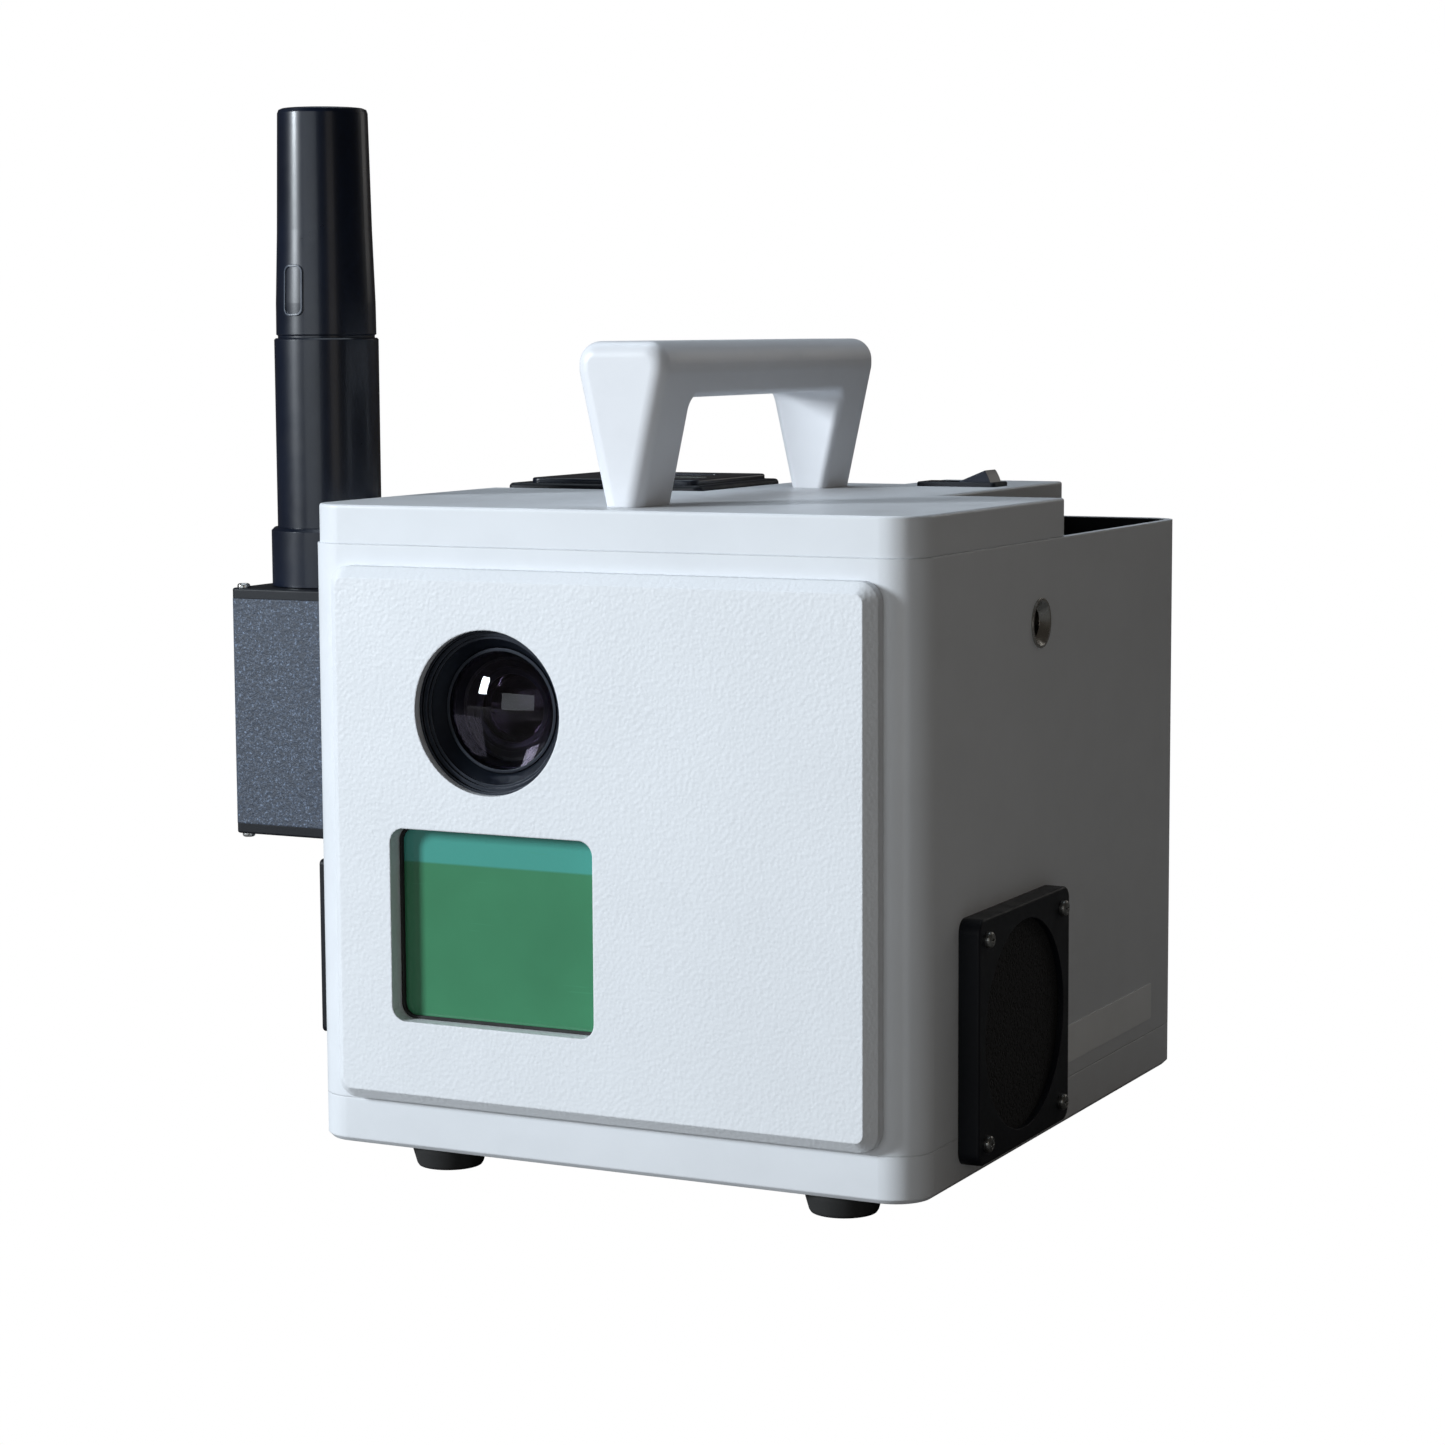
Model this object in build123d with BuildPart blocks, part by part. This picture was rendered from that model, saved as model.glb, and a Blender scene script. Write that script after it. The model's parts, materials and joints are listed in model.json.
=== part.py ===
from build123d import *
import math
import os

# Terrestrial laser scanner: a white box with a raised front plate that holds a camera and a
# scan window, a carrying handle, a fan on its right side, a bay with a battery at its rear,
# and a radio with a rod antenna on its left side.
# Millimetres. +X is the scanner's right side seen from the front, -Y is its front, +Z is up.
# The origin is the mouth of the tripod thread, in the middle of the base's underside.

# ---------------------------------------------------------------- driving dimensions
body_w = 241.2            # width of the housing, along X
body_d = 265.8            # depth of the housing, along Y
corner_r = 14.5           # radius of its upright corners
wall = 3.0                # sheet thickness of housing, cover and base
seam_z = 16.7             # where the base pan meets the housing
cover_z = 218.6           # where the housing meets the top cover
top_z = 232.7             # top face of the cover
cover_inset = 0.8         # the cover stands this far inside the housing's outline
cover_wall = 2.5

half_w = body_w / 2
half_d = body_d / 2
inner_x = half_w - wall   # inner faces of the housing's walls
inner_y = half_d - wall

# rear bay: two open pockets beside a tongue of the cover
bay_front_y = 3.0         # rear edge of the cover's full-width part
bay_floor_z = 130.0
tongue_left_x = -28.0
tongue_right_x = 71.0
tongue_step_x = 20.0      # left of this the tongue is short
tongue_short_y = 86.0
tongue_long_y = 128.5
tub_wall = 1.5
tub_gap = 0.2             # gap between a tub and the pieces round it

# front plate
fascia_w, fascia_h = 214.0, 193.0
fascia_x, fascia_z = 1.0, 114.7
fascia_t = 8.0
fascia_bevel = 4.0
fascia_corner_r = 7.0
fascia_front_y = -half_d - fascia_t

# scan window
window_x, window_z = -39.5, 83.6
window_w, window_h = 82.2, 69.8
window_r = 5.5
gasket_t = 1.5

# camera
lens_x, lens_z = -40.1, 161.2
lens_hole_r = 29.25
lens_rim_t = 3.3          # thickness of the front plate round the lens
glass_r = 20.9            # front lens element
barrel_r = 26.0           # seat of the focus ring
camera_size = 56.0

# carrying handle
handle_front_y, handle_back_y = -115.5, 64.3
handle_leg = 26.0         # length of each leg, along Y
handle_foot_w, handle_top_w = 14.4, 35.4
handle_shoulder = 47.0    # height at which the taper ends
handle_rise = 57.7
handle_gap_h = 37.8       # clear height under the bar
handle_top_r = 8.0
handle_end_r = 5.5

# fan on the right side
fan_y, fan_z = -54.5, 49.8
fan_pitch = 71.5          # screw spacing of an 80 mm fan
fan_size, fan_t = 80.0, 25.0
fan_cover_w, fan_cover_t = 86.4, 7.8
fan_open_r = 37.5
fan_bore_r = 38.0
fan_shaft_r = 2.0
running_gap = 0.05        # radial clearance of a shaft in its bore

# feet and base
foot_xs = (-72.0, 86.0)
foot_ys = (-116.5, 108.0)
foot_h = 8.0
foot_top_r, foot_tip_r = 14.0, 11.6
corner_screw_x, corner_screw_y = 112.0, 124.0
tripod_r = 6.75           # minor radius of the 5/8 inch thread
tripod_depth = 16.0

# switch on the tongue
switch_x, switch_y = 49.0, 77.0
bezel_l, bezel_w, bezel_t = 33.0, 15.0, 1.8
rocker_l, rocker_w = 29.4, 11.2
rocker_tilt = 10.75       # each way from the level position, in degrees

# battery in the left pocket
battery_x0, battery_x1 = -115.5, -30.2
battery_y0, battery_y1 = 5.3, 78.0
battery_top_z = top_z + 1.8
battery_r = 3.0

# radio and antenna on the left side
radio_front_y, radio_back_y = -100.0, -44.0
radio_left_x = -175.0
radio_plate_t = 3.0
radio_z0, radio_z1 = 105.3, 198.5
radio_cap_t = 3.9
antenna_x, antenna_y = -148.3, -72.0
collar_r, collar_h = 22.0, 22.0
tube_r = 19.6
tube_top_z = 291.8
antenna_top_z = 377.0

# scan engine
bench_z, bench_t = 30.0, 5.0
engine_y = -75.0          # axis of the spinning mirror and centre of the tilting one
engine_z = window_z
spin_x = window_x - 0.5
tilt_x = 30.0


# ---------------------------------------------------------------- helpers
def facing_up(x, y, z):
    return Plane(origin=(x, y, z), x_dir=(1, 0, 0), z_dir=(0, 0, 1))


def facing_down(x, y, z):
    return Plane(origin=(x, y, z), x_dir=(1, 0, 0), z_dir=(0, 0, -1))


def facing_front(x, y, z):
    return Plane(origin=(x, y, z), x_dir=(1, 0, 0), z_dir=(0, -1, 0))


def facing_right(x, y, z):
    return Plane(origin=(x, y, z), x_dir=(0, 1, 0), z_dir=(1, 0, 0))


def facing_left(x, y, z):
    return Plane(origin=(x, y, z), x_dir=(0, -1, 0), z_dir=(-1, 0, 0))


def slab(plane, width, height, radius, thickness, mode=Mode.ADD):
    """A rounded rectangle, extruded from a plane."""
    with BuildSketch(plane) as outline:
        RectangleRounded(width, height, radius)
    extrude(outline.sketch, amount=thickness, mode=mode)


def discs(plane, places, radius, thickness, mode=Mode.ADD):
    """A cylinder at each place, extruded from a plane."""
    with BuildSketch(plane) as outline:
        with Locations(*places):
            Circle(radius)
    extrude(outline.sketch, amount=thickness, mode=mode)


def pan_screws(plane, places, shank_r, length, head_r, head_h):
    """Pan-head screws whose heads stand on a plane and whose shanks run behind it."""
    with BuildPart() as screws:
        discs(plane, places, head_r, head_h)
        fillet(screws.edges().filter_by(GeomType.CIRCLE).group_by(Axis(plane.origin, plane.z_dir))[-1],
               head_h * 0.55)
        discs(plane, places, shank_r, -length)
        with BuildSketch(plane.offset(head_h)) as slots:
            with Locations(*places):
                Rectangle(head_r * 1.1, head_r * 0.26)
                Rectangle(head_r * 0.26, head_r * 1.1)
        extrude(slots.sketch, amount=-head_h * 0.5, mode=Mode.SUBTRACT)
    return screws


def turned(plane, points, axis):
    """A closed profile of (radius, height) points, turned about an axis."""
    with BuildSketch(plane) as profile:
        with BuildLine():
            Polyline(*points, close=True)
        make_face()
    revolve(profile.sketch, axis=axis)


def save(piece, name):
    """Label a finished piece and write it to its own file."""
    piece.part.label = name
    export_step(piece.part, f"parts/{name}.step")


def four(x, y):
    """The corners of a rectangle of half sizes x and y."""
    return [(sx * x, sy * y) for sx in (-1, 1) for sy in (-1, 1)]


os.makedirs("parts", exist_ok=True)

# ---------------------------------------------------------------- housing, cover and base
bosses = [
    (-corner_screw_x, -corner_screw_y),
    (corner_screw_x, -corner_screw_y),
    (-113.0, -8.0),
    (113.0, -8.0),
]
boss_r = 5.5
boss_h = 22.0
screw_m3_r = 1.5
screw_m3_hole_r = 1.6
fan_screw_places = four(fan_pitch / 2, fan_pitch / 2)
exhaust_y, exhaust_z = -64.0, 64.0
hood_screw_places = four(37.5, 24.0)
exhaust_slots = [(0, dz) for dz in (-20.0, -10.0, 0.0, 10.0, 20.0)]
insert_y, insert_z = -22.0, 189.0
insert_r = 9.0
window_port_w, window_port_h, window_port_r = window_w + 3.8, window_h + 3.8, 6.7
retainer_screw_places = four(47.0, 40.5)
fan_port_r = 32.0

with BuildPart() as main_housing:
    slab(facing_up(0, 0, seam_z), body_w, body_d, corner_r, cover_z - seam_z)
    slab(facing_up(0, 0, seam_z), 2 * inner_x, 2 * inner_y, corner_r - wall, cover_z - seam_z, Mode.SUBTRACT)
    discs(facing_down(0, 0, cover_z), [(x, -y) for x, y in bosses], boss_r, boss_h)
    discs(facing_up(0, 0, seam_z), four(corner_screw_x, corner_screw_y), boss_r, boss_h)
    # bosses never break through the outer face
    with BuildSketch(facing_up(0, 0, seam_z)) as surround:
        Rectangle(body_w + 40, body_d + 40)
        RectangleRounded(body_w, body_d, corner_r, mode=Mode.SUBTRACT)
    extrude(surround.sketch, amount=cover_z - seam_z, mode=Mode.SUBTRACT)
    discs(facing_down(0, 0, cover_z), [(x, -y) for x, y in bosses], screw_m3_hole_r, boss_h, Mode.SUBTRACT)
    discs(facing_up(0, 0, seam_z), four(corner_screw_x, corner_screw_y), screw_m3_r, 14.0, Mode.SUBTRACT)
    # lens port, window port and the retainer's screw holes in the front wall
    discs(facing_front(lens_x, -inner_y, lens_z), [(0, 0)], 31.0, wall, Mode.SUBTRACT)
    slab(facing_front(window_x, -inner_y, window_z), window_port_w, window_port_h, window_port_r, wall,
         Mode.SUBTRACT)
    discs(facing_front(window_x, -inner_y, window_z), retainer_screw_places, 1.25, 2.2, Mode.SUBTRACT)
    # fan port and its upper screw holes in the right wall
    discs(facing_right(inner_x, fan_y, fan_z), [(0, 0)], fan_port_r, wall, Mode.SUBTRACT)
    discs(facing_right(inner_x, fan_y, fan_z), fan_screw_places, screw_m3_hole_r, wall, Mode.SUBTRACT)
    discs(facing_right(inner_x, insert_y, insert_z), [(0, 0)], insert_r - 1.0, wall, Mode.SUBTRACT)
    # exhaust slots and the radio's cable hole in the left wall
    with BuildSketch(facing_left(-inner_x, exhaust_y, exhaust_z)) as slots:
        with Locations(*exhaust_slots):
            SlotOverall(48.0, 5.0)
    extrude(slots.sketch, amount=wall, mode=Mode.SUBTRACT)
    discs(facing_left(-inner_x, exhaust_y, exhaust_z), hood_screw_places, screw_m3_r, wall, Mode.SUBTRACT)
    discs(facing_left(-inner_x, antenna_y, 150.0), [(0, 0)], 5.0, wall, Mode.SUBTRACT)
    discs(facing_left(-inner_x, antenna_y, 150.0), four(18.0, 32.0), screw_m3_r, wall, Mode.SUBTRACT)
save(main_housing, "main_housing")

cover_x = half_w - cover_inset
cover_front_y = -half_d + cover_inset
handle_leg_ys = (handle_front_y + handle_leg / 2, handle_back_y - handle_leg / 2)
handle_screw_places = [(0, y + dy) for y in handle_leg_ys for dy in (-7.0, 7.0)]
tongue_outline = [
    (-cover_x, cover_front_y),
    (cover_x, cover_front_y),
    (cover_x, bay_front_y),
    (tongue_right_x, bay_front_y),
    (tongue_right_x, tongue_long_y),
    (tongue_step_x, tongue_long_y),
    (tongue_step_x, tongue_short_y),
    (tongue_left_x, tongue_short_y),
    (tongue_left_x, bay_front_y),
    (-cover_x, bay_front_y),
]

with BuildPart() as top_cover:
    with BuildSketch(facing_up(0, 0, cover_z)) as cover_outline:
        with BuildLine():
            Polyline(*tongue_outline, close=True)
        make_face()
        fillet(cover_outline.vertices().group_by(Axis.Y)[0], corner_r - cover_inset)
    extrude(amount=top_z - cover_z)
    fillet(top_cover.edges().group_by(Axis.Z)[-1], 1.0)
    with BuildSketch(facing_up(0, 0, cover_z)) as cover_hollow:
        add(cover_outline.sketch_local)
        offset(amount=-cover_wall, kind=Kind.INTERSECTION, mode=Mode.REPLACE)
    extrude(amount=top_z - cover_z - cover_wall, mode=Mode.SUBTRACT)
    discs(facing_up(0, 0, cover_z), bosses, boss_r, top_z - cover_z - 1.0)
    with BuildSketch(facing_up(0, 0, cover_z)) as cover_surround:
        Rectangle(body_w + 40, body_d + 40)
        add(cover_outline.sketch_local, mode=Mode.SUBTRACT)
    extrude(amount=top_z - cover_z, mode=Mode.SUBTRACT)
    discs(facing_up(0, 0, cover_z), bosses, screw_m3_r, 9.0, Mode.SUBTRACT)
    discs(facing_up(0, 0, cover_z), handle_screw_places, 2.1, top_z - cover_z, Mode.SUBTRACT)
    slab(facing_up(switch_x, switch_y, cover_z), 30.6, 12.6, 1.0, top_z - cover_z, Mode.SUBTRACT)
save(top_cover, "top_cover")

base_chamfer = 1.6
foot_places = [(x, y) for x in foot_xs for y in foot_ys]
tripod_boss_r = 19.0
tripod_flange_r = 30.0
tripod_screw_r = 24.5

with BuildPart() as base_pan:
    slab(facing_up(0, 0, 0), body_w, body_d, corner_r, seam_z)
    chamfer(base_pan.edges().group_by(Axis.Z)[0], base_chamfer)
    slab(facing_up(0, 0, wall), 2 * inner_x, 2 * inner_y, corner_r - wall, seam_z - wall, Mode.SUBTRACT)
    discs(facing_up(0, 0, 1.0), four(corner_screw_x, corner_screw_y), boss_r, seam_z - 1.0)
    with BuildSketch(facing_up(0, 0, base_chamfer)) as pan_surround:
        Rectangle(body_w + 40, body_d + 40)
        RectangleRounded(body_w, body_d, corner_r, mode=Mode.SUBTRACT)
    extrude(amount=seam_z - base_chamfer, mode=Mode.SUBTRACT)
    discs(facing_up(0, 0, 0), four(corner_screw_x, corner_screw_y), screw_m3_hole_r, seam_z, Mode.SUBTRACT)
    discs(facing_up(0, 0, 0), four(corner_screw_x, corner_screw_y), 3.0, 2.4, Mode.SUBTRACT)
    discs(facing_up(0, 0, 0), foot_places, 2.0, wall, Mode.SUBTRACT)
    discs(facing_up(0, 0, 0), [(0, 0)], tripod_boss_r, wall, Mode.SUBTRACT)
    discs(facing_right(inner_x, fan_y, fan_z), fan_screw_places[0::2], screw_m3_hole_r, wall, Mode.SUBTRACT)
    with BuildSketch(facing_up(0, 0, 0)) as boss_screw_holes:
        with PolarLocations(tripod_screw_r, 4, 45):
            Circle(screw_m3_r)
    extrude(amount=wall, mode=Mode.SUBTRACT)
save(base_pan, "base_pan")

case_screw_length = 28.0
base_screw_places = [(x, -y) for x, y in four(corner_screw_x, corner_screw_y)]
with BuildPart() as case_screws:
    add(pan_screws(facing_down(0, 0, cover_z - boss_h), [(x, -y) for x, y in bosses], screw_m3_r,
                   case_screw_length, 2.8, 2.2).part)
    add(pan_screws(facing_down(0, 0, 2.4), base_screw_places, screw_m3_r, case_screw_length, 2.8, 2.2).part)
save(case_screws, "case_screws")

with BuildPart() as tripod_boss:
    discs(facing_up(0, 0, 0), [(0, 0)], tripod_boss_r, 20.0)
    discs(facing_up(0, 0, wall), [(0, 0)], tripod_flange_r, 4.0)
    chamfer(tripod_boss.edges().group_by(Axis.Z)[-1], 1.0)
    discs(facing_up(0, 0, 0), [(0, 0)], tripod_r, tripod_depth, Mode.SUBTRACT)
    with BuildSketch(facing_up(0, 0, wall)) as flange_holes:
        with PolarLocations(tripod_screw_r, 4, 45):
            Circle(screw_m3_hole_r)
    extrude(amount=4.0, mode=Mode.SUBTRACT)
save(tripod_boss, "tripod_boss")

polar_places = [(tripod_screw_r * math.cos(math.radians(a)), tripod_screw_r * math.sin(math.radians(a)))
                for a in (45, 135, 225, 315)]
tripod_boss_screws = pan_screws(facing_up(0, 0, wall + 4.0), polar_places, screw_m3_r, 6.5, 2.8, 2.2)
save(tripod_boss_screws, "tripod_boss_screws")

with BuildPart() as rubber_feet:
    for foot_x, foot_y in foot_places:
        foot_plane = Plane(origin=(foot_x, foot_y, 0), x_dir=(1, 0, 0), z_dir=(0, -1, 0))
        turned(foot_plane,
               [(2.1, 0), (foot_top_r, 0), (foot_top_r - 0.4, -2.0), (foot_tip_r + 0.6, -foot_h + 1.0),
                (foot_tip_r, -foot_h), (5.0, -foot_h), (5.0, -3.4), (2.1, -3.4)],
               Axis((foot_x, foot_y, 0), (0, 0, 1)))
save(rubber_feet, "rubber_feet")

foot_screws = pan_screws(facing_down(0, 0, -3.4), [(x, -y) for x, y in foot_places], 2.0, 9.0, 4.0, 2.4)
save(foot_screws, "foot_screws")

# ---------------------------------------------------------------- front plate and scan window
lens_seat_r = 33.2

with BuildPart() as front_fascia:
    slab(facing_front(fascia_x, -half_d, fascia_z), fascia_w, fascia_h, fascia_corner_r, fascia_t)
    chamfer(front_fascia.edges().group_by(Axis.Y)[0], fascia_bevel)
    discs(facing_front(lens_x, -half_d, lens_z), [(0, 0)], lens_hole_r, fascia_t, Mode.SUBTRACT)
    discs(facing_front(lens_x, -half_d, lens_z), [(0, 0)], lens_seat_r, fascia_t - lens_rim_t, Mode.SUBTRACT)
    slab(facing_front(window_x, -half_d, window_z), window_w, window_h, window_r, fascia_t, Mode.SUBTRACT)
    slab(facing_front(window_x, -half_d, window_z), window_w + 6.2, window_h + 6.2, 8.2, gasket_t,
         Mode.SUBTRACT)
save(front_fascia, "front_fascia")

with BuildPart() as window_gasket:
    slab(facing_front(window_x, -half_d, window_z), window_w + 5.8, window_h + 5.8, 8.0, gasket_t)
    slab(facing_front(window_x, -half_d, window_z), window_w - 2.0, window_h - 2.0, 4.5, gasket_t,
         Mode.SUBTRACT)
save(window_gasket, "window_gasket")

with BuildPart() as scan_window:
    slab(facing_front(window_x, -inner_y, window_z), window_port_w - 0.4, window_port_h - 0.4, 6.5, wall)
save(scan_window, "scan_window")

retainer_t = 2.4
with BuildPart() as window_retainer:
    slab(facing_front(window_x, -inner_y + retainer_t, window_z), 101.0, 88.0, 6.0, retainer_t)
    slab(facing_front(window_x, -inner_y + retainer_t, window_z), 76.0, 64.0, 4.0, retainer_t, Mode.SUBTRACT)
    discs(facing_front(window_x, -inner_y + retainer_t, window_z), retainer_screw_places, 1.35, retainer_t,
          Mode.SUBTRACT)
save(window_retainer, "window_retainer")

retainer_back = Plane(origin=(window_x, -inner_y + retainer_t, window_z), x_dir=(1, 0, 0), z_dir=(0, 1, 0))
retainer_screws = pan_screws(retainer_back, retainer_screw_places, 1.25, retainer_t + 2.0, 2.3, 1.7)
save(retainer_screws, "retainer_screws")

# ---------------------------------------------------------------- camera
lens_axis = Axis((lens_x, 0, lens_z), (0, 1, 0))
lens_plane = facing_up(lens_x, 0, lens_z)    # radius along X, position along Y
hood_front_y = fascia_front_y + lens_rim_t
glass_rim_y = -129.4
hood_throat_r = 22.5

with BuildPart() as lens_hood:
    turned(lens_plane,
           [(33.0, hood_front_y), (33.0, -half_d), (30.7, -half_d), (30.7, -127.0), (hood_throat_r, -127.0),
            (hood_throat_r, -130.2), (25.8, -134.6), (25.8, -135.2), (26.9, -135.2), (26.9, -136.2),
            (28.4, -136.2), (28.4, hood_front_y)],
           lens_axis)
save(lens_hood, "lens_hood")

focus_y0, focus_y1 = -118.0, -106.0
with BuildPart() as lens_barrel:
    turned(lens_plane,
           [(21.05, -130.6), (22.2, -130.6), (22.2, -122.0), (29.0, -122.0), (29.0, focus_y0 - 0.3),
            (barrel_r, focus_y0 - 0.3), (barrel_r, focus_y1 + 0.3), (29.0, focus_y1 + 0.3), (29.0, -96.0),
            (9.0, -96.0), (9.0, -116.4), (10.95, -116.4), (10.95, -121.4), (12.6, -121.4), (19.6, -125.8),
            (21.05, -125.8)],
           lens_axis)
save(lens_barrel, "lens_barrel")

with BuildPart() as focus_ring:
    turned(lens_plane,
           [(barrel_r + running_gap, focus_y0), (31.6, focus_y0), (32.4, focus_y0 + 0.8),
            (32.4, focus_y1 - 0.8), (31.6, focus_y1), (barrel_r + running_gap, focus_y1)],
           lens_axis)
    with BuildSketch(facing_front(lens_x, focus_y1, lens_z)) as knurls:
        with PolarLocations(32.6, 48):
            Circle(0.9)
    extrude(amount=focus_y1 - focus_y0, mode=Mode.SUBTRACT)
save(focus_ring, "focus_ring")


def dome(radius, apex_y, rim_y, back_y, curve_r):
    """A lens: a spherical front face, a cylindrical edge and a flat back."""
    middle_r = radius / 2
    middle_y = apex_y + curve_r - math.sqrt(curve_r**2 - middle_r**2)
    with BuildSketch(lens_plane) as profile:
        with BuildLine():
            ThreePointArc((0, apex_y), (middle_r, middle_y), (radius, rim_y))
            Polyline((radius, rim_y), (radius, back_y), (0, back_y), (0, apex_y))
        make_face()
    revolve(profile.sketch, axis=lens_axis)


def dome_radius(radius, sag):
    return (radius**2 + sag**2) / (2 * sag)


front_sag = 6.0
inner_sag = 2.4
with BuildPart() as lens_front_glass:
    dome(glass_r, glass_rim_y - front_sag, glass_rim_y, glass_rim_y + 3.0, dome_radius(glass_r, front_sag))
save(lens_front_glass, "lens_front_glass")

with BuildPart() as lens_inner_glass:
    dome(10.8, -123.2, -123.2 + inner_sag, -116.6, dome_radius(10.8, inner_sag))
save(lens_inner_glass, "lens_inner_glass")

camera_front_y, camera_back_y = -96.0, -46.0
with BuildPart() as camera_body:
    slab(facing_front(lens_x, camera_back_y, lens_z), camera_size, camera_size, 3.0,
         camera_back_y - camera_front_y)
    with BuildSketch(facing_up(lens_x, -64.0, lens_z + camera_size / 2)) as camera_fins:
        with GridLocations(0, 5.0, 1, 6):
            Rectangle(camera_size - 8.0, 2.0)
    extrude(amount=-3.0, mode=Mode.SUBTRACT)
save(camera_body, "camera_body")

shelf_z = lens_z - camera_size / 2 - 9.0
with BuildPart() as camera_shelf:
    slab(facing_up(lens_x, -70.0, shelf_z), 100.0, 104.0, 4.0, 3.0)
    slab(facing_up(lens_x, -70.0, shelf_z + 3.0), 40.0, 40.0, 3.0, 6.0)
    discs(facing_down(lens_x, -70.0, shelf_z), four(44.0, 46.0), 4.0, shelf_z - bench_z - bench_t)
save(camera_shelf, "camera_shelf")

# ---------------------------------------------------------------- carrying handle
handle_outline = [
    (-handle_foot_w / 2, 0),
    (-handle_top_w / 2, handle_shoulder),
    (-handle_top_w / 2, handle_rise),
    (handle_top_w / 2, handle_rise),
    (handle_top_w / 2, handle_shoulder),
    (handle_foot_w / 2, 0),
]
handle_gap_y0 = handle_front_y + handle_leg
handle_gap_y1 = handle_back_y - handle_leg
handle_length = handle_back_y - handle_front_y

with BuildPart() as carry_handle:
    with BuildSketch(facing_front(0, handle_back_y, top_z)) as handle_front:
        with BuildLine():
            Polyline(*handle_outline, close=True)
        make_face()
        fillet(handle_front.vertices().group_by(Axis.Y)[-1], handle_top_r)
        fillet(handle_front.vertices().group_by(Axis.Y)[1], 8.0)
    extrude(amount=handle_length)
    fillet(carry_handle.faces().sort_by(Axis.Y)[0].edges().filter_by_position(Axis.Z, top_z + 1, 400),
           handle_end_r)
    fillet(carry_handle.faces().sort_by(Axis.Y)[-1].edges().filter_by_position(Axis.Z, top_z + 1, 400),
           handle_end_r)
    with BuildSketch(facing_right(-30.0, (handle_gap_y0 + handle_gap_y1) / 2, top_z)) as handle_gap:
        Rectangle(handle_gap_y1 - handle_gap_y0, 2 * handle_gap_h)
        fillet(handle_gap.vertices().group_by(Axis.Y)[-1], 4.0)
    extrude(amount=60.0, mode=Mode.SUBTRACT)
    fillet(carry_handle.edges().filter_by(Axis.Y).filter_by_position(
        Axis.Z, top_z + handle_gap_h - 0.5, top_z + handle_gap_h + 0.5), 3.0)
    discs(facing_up(0, 0, top_z), handle_screw_places, 2.0, 10.5, Mode.SUBTRACT)
save(carry_handle, "carry_handle")

handle_screws = pan_screws(facing_down(0, 0, top_z - cover_wall), [(x, -y) for x, y in handle_screw_places],
                           2.0, 12.5, 3.6, 2.6)
save(handle_screws, "handle_screws")

# ---------------------------------------------------------------- rear bay
tub_x = inner_x - tub_gap
tub_front_y = bay_front_y + 0.4
tub_back_y = inner_y - 0.4
tub_top_z = cover_z - 0.2
left_pocket = [
    (-tub_x, tub_front_y),
    (tongue_left_x - tub_gap, tub_front_y),
    (tongue_left_x - tub_gap, tongue_short_y + tub_gap),
    (tongue_step_x - tub_gap, tongue_short_y + tub_gap),
    (tongue_step_x - tub_gap, tub_back_y),
    (-tub_x, tub_back_y),
]
right_pocket = [
    (tongue_right_x + tub_gap, tub_front_y),
    (tub_x, tub_front_y),
    (tub_x, tub_back_y),
    (tongue_right_x + tub_gap, tub_back_y),
]


def tub(points, rounded_corner):
    """An open-topped sheet tray with the given outline. One rear corner follows the housing."""
    with BuildPart() as tray:
        with BuildSketch(facing_up(0, 0, bay_floor_z)) as outline:
            with BuildLine():
                Polyline(*points, close=True)
            make_face()
            fillet(outline.vertices().sort_by_distance(rounded_corner)[0], corner_r - wall)
        extrude(amount=tub_top_z - bay_floor_z)
        with BuildSketch(facing_up(0, 0, bay_floor_z + tub_wall)):
            add(outline.sketch_local)
            offset(amount=-tub_wall, kind=Kind.INTERSECTION, mode=Mode.REPLACE)
        extrude(amount=tub_top_z - bay_floor_z, mode=Mode.SUBTRACT)
    return tray


battery_bay = tub(left_pocket, (-tub_x, tub_back_y, bay_floor_z))
save(battery_bay, "battery_bay")

port_places = [(94.4, 34.0), (94.4, 74.0)]
port_r = 7.0
with BuildPart() as connector_bay:
    add(tub(right_pocket, (tub_x, tub_back_y, bay_floor_z)).part)
    discs(facing_up(0, 0, bay_floor_z), port_places, port_r, tub_wall, Mode.SUBTRACT)
save(connector_bay, "connector_bay")


def port(place, socket_r, pin_count):
    """A round panel connector that stands on the bay's floor, with pins in its socket."""
    x, y = place
    floor_z = bay_floor_z + tub_wall
    with BuildPart() as connector:
        discs(facing_up(x, y, floor_z - 9.0), [(0, 0)], port_r, 9.0)
        slab(facing_up(x, y, floor_z), 24.0, 24.0, 3.0, 2.4)
        discs(facing_up(x, y, floor_z + 2.4), [(0, 0)], 9.6, 13.0)
        chamfer(connector.edges().group_by(Axis.Z)[-1], 0.6)
        discs(facing_up(x, y, floor_z + 5.4), [(0, 0)], socket_r, 10.0, Mode.SUBTRACT)
        with BuildSketch(facing_up(x, y, floor_z + 5.4)):
            with PolarLocations(socket_r * 0.55, pin_count):
                Circle(0.75)
        extrude(amount=6.5)
    return connector


power_port = port(port_places[0], 7.4, 4)
save(power_port, "power_port")
data_port = port(port_places[1], 7.0, 8)
save(data_port, "data_port")

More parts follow.
